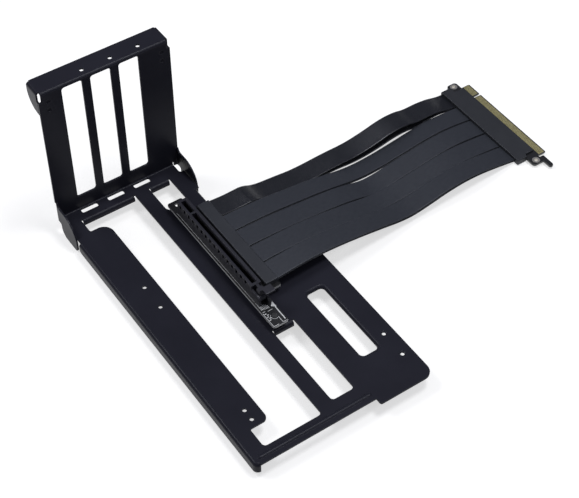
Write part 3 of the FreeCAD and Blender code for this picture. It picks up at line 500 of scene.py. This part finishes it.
def ribbon(index, materials):
    """Two flat layers along one line, upper material first."""
    points = ribbon_points(index)
    vertices = []
    lies = []
    faces = []
    for side, groove in ((1.0, RIBBON_GROOVES[index]), (-1.0, 0.0)):
        section = layer_section(groove)
        faces += layer_faces(len(vertices), len(section), len(points))
        corners, corner_lies = layer_rings(index, points, side, section)
        vertices += corners
        lies += corner_lies
    mesh = bpy.data.meshes.new("flat_cable_%d" % (index + 1))
    mesh.from_pydata(vertices, [], faces)
    mesh.polygons.foreach_set("use_smooth", [True] * len(mesh.polygons))
    mesh.set_sharp_from_angle(angle=math.radians(RIBBON_CREASE))
    lie = mesh.uv_layers.new(name="lie")
    for loop in mesh.loops:
        lie.data[loop.index].uv = lies[loop.vertex_index]
    for material in materials:
        mesh.materials.append(material)
    for number, polygon in enumerate(mesh.polygons):
        polygon.material_index = len(materials) * number // len(mesh.polygons)
    piece = link(bpy.data.objects.new(mesh.name, mesh))
    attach(piece, "mount")
    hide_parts("ribbon_%d" % (index + 1))


def print_ticks():
    """Ticks at the slot's near end, each a little shorter than the one before."""
    for step in range(TICK_COUNT):
        x = TICK_LEFT + TICK_PITCH * step
        yield (x, TICK_FAR - TICK_FAR_DROP * step), (x, TICK_NEAR - TICK_NEAR_DROP * step), TICK_WIDTH


def print_dashes():
    """Short dashes down the tongue, every other one set to the right."""
    for step in range(DASH_COUNT):
        x = DASH_LEFT + DASH_STAGGER * (step % 2)
        y = DASH_FAR - DASH_PITCH * step
        yield (x, y), (x + DASH_LENGTH, y), DASH_WIDTH


def line_corners(start, end, width):
    """The four corners of a printed line."""
    (x0, y0), (x1, y1) = start, end
    run = Vector((x1 - x0, y1 - y0)).normalized() * (width / 2)
    side = Vector((-run.y, run.x))
    return [(x0 + side.x, y0 + side.y), (x0 - side.x, y0 - side.y),
            (x1 - side.x, y1 - side.y), (x1 + side.x, y1 + side.y)]


def ring_corners():
    """The corners of each short piece of the open ring."""
    turns = [math.tau * step / RING_STEPS for step in range(RING_FIRST, RING_LAST + 1)]
    for start, end in zip(turns, turns[1:]):
        ends = ((RING_INNER, start), (RING_INNER, end), (RING_OUTER, end), (RING_OUTER, start))
        yield [(RING_X + reach * math.cos(turn), RING_Y + reach * math.sin(turn)) for reach, turn in ends]


def board_print(material):
    """Pale legend on the slot board: slot line, corner lines, ticks, dashes, arrow and open ring."""
    shapes = [line_corners(*line) for line in (*PRINT_LINES, *print_ticks(), *print_dashes())]
    shapes.append(PRINT_ARROW)
    shapes += ring_corners()
    made = bmesh.new()
    for corners in shapes:
        face = made.faces.new([made.verts.new(at(x, y, BOARD_TOP + PRINT_LIFT)) for x, y in corners])
        face.normal_update()
        if face.normal.z < 0:
            face.normal_flip()
    bmesh.ops.solidify(made, geom=made.faces[:], thickness=PRINT_THICK * MM)
    mesh = bpy.data.meshes.new("board_print")
    made.to_mesh(mesh)
    made.free()
    mesh.materials.append(material)
    piece = link(bpy.data.objects.new("board_print", mesh))
    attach(piece, "mount")


def studio():
    """Dim cool air, paler straight overhead."""
    scene = bpy.context.scene
    scene.view_settings.view_transform = "Standard"
    scene.world = bpy.data.worlds.new("studio")
    scene.world.use_nodes = True
    air = Tree(scene.world.node_tree)
    sky = air.node("ValToRGB")
    elements = sky.color_ramp.elements
    while len(elements) < len(SKY_STOPS):
        elements.new(0.5)
    for element, (spot, colour) in zip(elements, SKY_STOPS):
        element.position = spot
        element.color = (*colour, 1.0)
    air.feed(sky.inputs["Fac"], air.split(air.node("TexCoord").outputs["Generated"])["Z"])
    air.feed(air.tree.nodes["Background"].inputs["Color"], sky.outputs["Color"])


def lamp(name, place, aim, size, power):
    light = bpy.data.lights.new(name, "AREA")
    light.shape = "RECTANGLE"
    light.size, light.size_y = size
    light.energy = power
    made = link(bpy.data.objects.new(name, light))
    made.location = place
    made.rotation_euler = turned_to(Vector(place), Vector(aim))


def floor():
    """White table that keeps the mount's shadow."""
    far = FLOOR_REACH
    mesh = bpy.data.meshes.new("floor")
    mesh.from_pydata([(-far, -far, 0), (far, -far, 0), (far, far, 0), (-far, far, 0)], [], [(0, 1, 2, 3)])
    look = Finish("floor")
    rays = look.node("LightPath").outputs
    seen = look.maths("MAXIMUM", rays["Is Camera Ray"], rays["Is Glossy Ray"])
    clear = look.maths("MAXIMUM", seen, rays["Is Transmission Ray"])
    look.give(Base_Color=FLOOR_TONE, Roughness=0.9, Specular_IOR_Level=0.1,
              Emission_Color=(1.0, 1.0, 1.0), Emission_Strength=look.maths("MULTIPLY", clear, FLOOR_GLOW))
    mesh.materials.append(look.material)
    link(bpy.data.objects.new("floor", mesh))


def dress(material, *names):
    for name in names:
        nodes[name].data.materials.clear()
        nodes[name].data.materials.append(material)


photo_camera()

matt_jacket = cable_jacket("matt_jacket", dark=(0.0158, 0.0180, 0.0240), pale=(0.0204, 0.0230, 0.0298),
                           rough=0.48, rib_height=0.00002, rib_strength=0.30)
bare_jacket = cable_jacket("bare_jacket", dark=(0.0050, 0.0057, 0.0082), pale=(0.0074, 0.0083, 0.0113),
                           rough=0.34, rib_height=0.00005, rib_strength=0.80)
# the lower layers take a darker tone than the matt upper jackets, as painted shade in the gaps between the
# cables
under_jacket_painted_shade = cable_jacket("under_jacket_painted_shade", dark=(0.0050, 0.0057, 0.0082), pale=(0.0074, 0.0083, 0.0113),
                            rough=0.50, rib_height=0.00002, rib_strength=0.30)
for number in range(len(RIBBON_ROUTES)):
    ribbon(number, (matt_jacket if number else bare_jacket, under_jacket_painted_shade))
board_print(print_ink())

dress(painted_steel(), "bracket")
dress(black_moulding("slot_moulding", dark=(0.0094, 0.0092, 0.0135), pale=(0.0130, 0.0128, 0.0182),
                     rough=0.40),
      "slot_housing", "slot_latch")
dress(black_moulding("head_moulding", dark=(0.0126, 0.0141, 0.0184), pale=(0.0160, 0.0179, 0.0228),
                     rough=0.52),
      "cable_head")
dress(black_moulding("plug_moulding", dark=(0.0120, 0.0132, 0.0162), pale=(0.0153, 0.0168, 0.0204),
                     rough=0.50),
      "plug_cover_top", "plug_cover_bottom")
# the slot board's cut edges are paler than the fibreglass alone, as painted light on its side faces
dress(board_mask("slot_board_mask_painted_light", cut_dark=(0.36, 0.365, 0.36), cut_pale=(0.60, 0.605, 0.60)),
      "slot_board")
dress(board_mask("plug_board_mask", cut_dark=(0.030, 0.031, 0.032), cut_pale=(0.060, 0.062, 0.060)),
      "plug_board")
dress(plated_metal("gold_plate", dull_tone=(0.68, 0.61, 0.29), bright=(0.90, 0.82, 0.41), rough=0.36),
      "plug_contacts_top", "plug_contacts_bottom")
# slot contacts coloured near black as painted shade inside the slot
dress(plated_metal("slot_contacts_painted_shade", dull_tone=(0.018, 0.018, 0.019), bright=(0.036, 0.035, 0.035),
                   rough=0.42),
      "slot_contacts_left", "slot_contacts_right")
dress(plated_metal("tin_plate", dull_tone=(0.52, 0.50, 0.45), bright=(0.68, 0.65, 0.58), rough=0.30),
      "plug_eyelets")
dress(plated_metal("black_zinc", dull_tone=(0.045, 0.046, 0.048), bright=(0.085, 0.087, 0.090), rough=0.40),
      "board_standoffs", "board_screws")

studio()
floor()
lamp("back_panel", place=(-0.55, 0.60, 1.12), aim=(0.0, 0.0, 0.05), size=(0.5, 0.4), power=7.5)
lamp("overhead", place=(0.33, -0.08, 1.25), aim=(0.0, 0.0, 0.0), size=(0.35, 0.35), power=7.5)
lamp("front_strip", place=(0.41, -0.73, 1.00), aim=(0.0, 0.0, 0.05), size=(0.5, 0.2), power=2.0)
